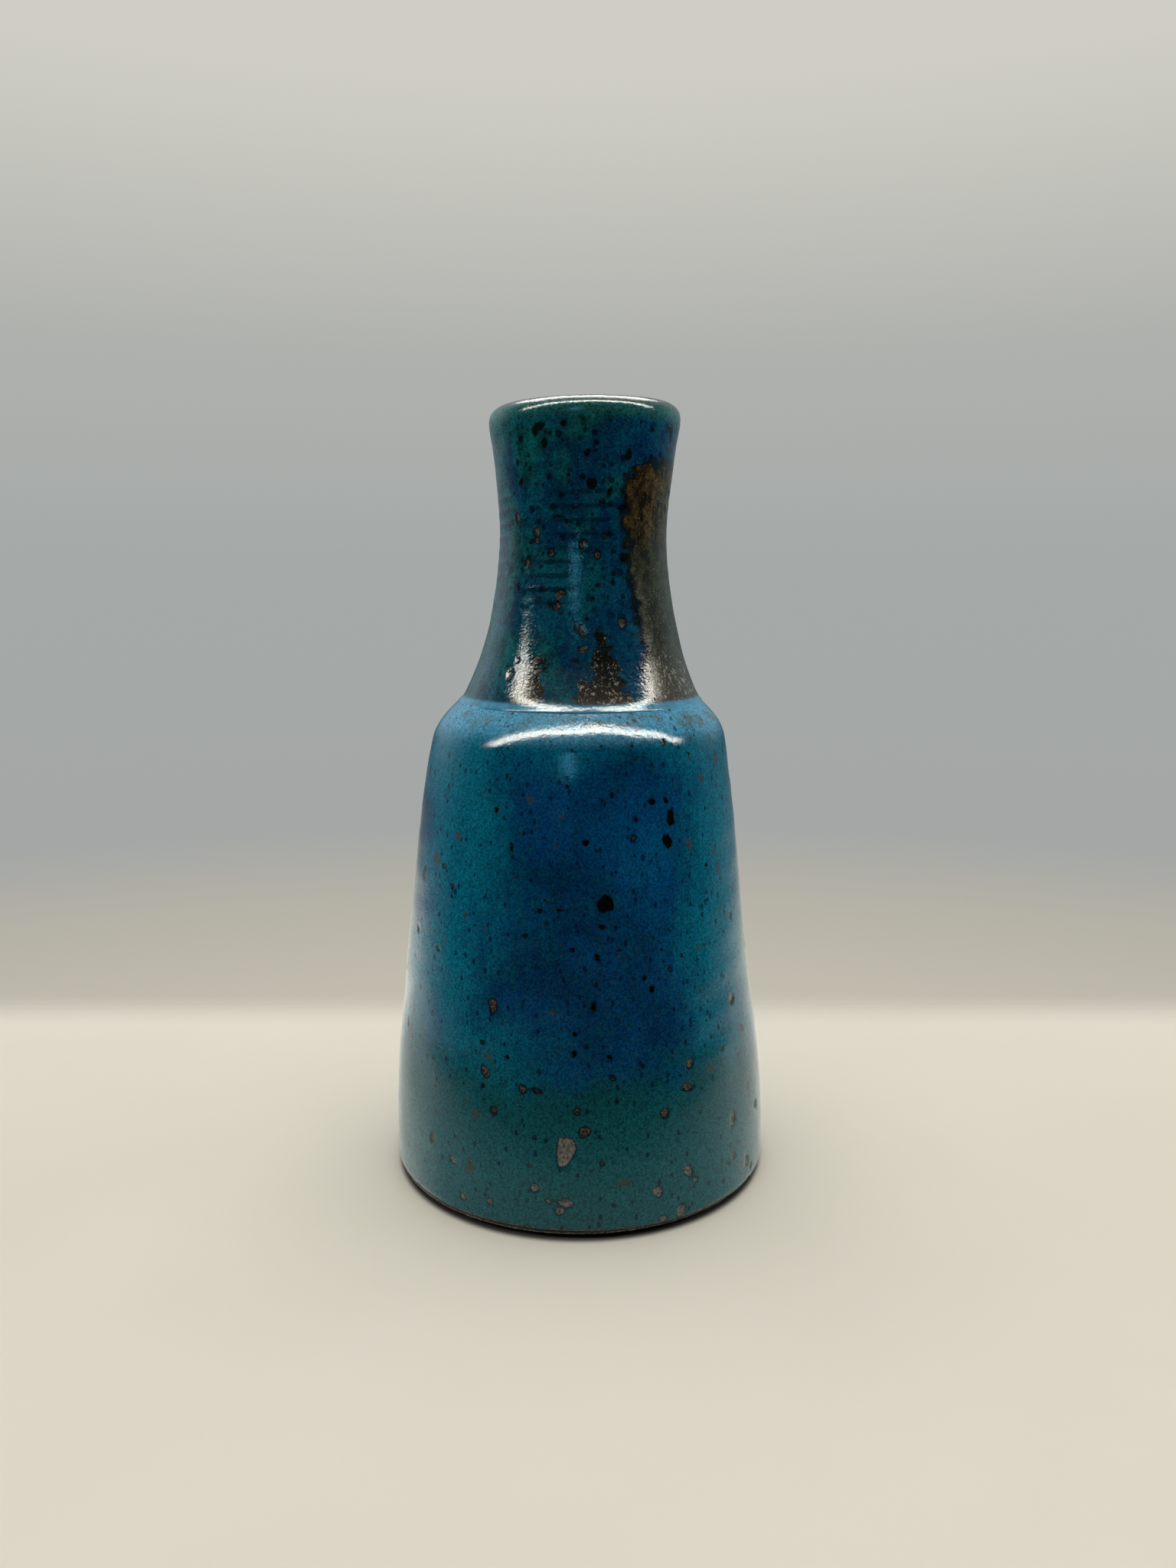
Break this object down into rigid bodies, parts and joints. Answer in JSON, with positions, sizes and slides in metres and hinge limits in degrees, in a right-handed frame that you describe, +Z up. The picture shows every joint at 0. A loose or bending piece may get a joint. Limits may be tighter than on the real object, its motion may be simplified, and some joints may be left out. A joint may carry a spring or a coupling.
{
  "type": "ceramic bud vase",
  "caption": "Glazed stoneware bud vase: a tapering round body, a rounded shoulder, and a slender flared neck that holds a short stem in water.",
  "frame": {"origin": "on the axis, in the plane of the foot ring that the vase stands on", "axes": "+Z up along the vase's axis, from the foot to the lip; X and Y are any two directions across it"},
  "size_m": [0.0608, 0.0608, 0.12],
  "materials": {
    "bare_stoneware": "matte",
    "slip": "matte",
    "cobalt_glaze": "satin",
    "neck_glaze": "satin",
    "liner_glaze": "satin"
  },
  "bodies": {
    "root": {"stoneware_body": "bare_stoneware", "stoneware_neck": "bare_stoneware", "luting_slip": "slip", "body_glaze": "cobalt_glaze", "neck_glaze": "neck_glaze", "liner_glaze": "liner_glaze"}
  },
  "joints": []
}
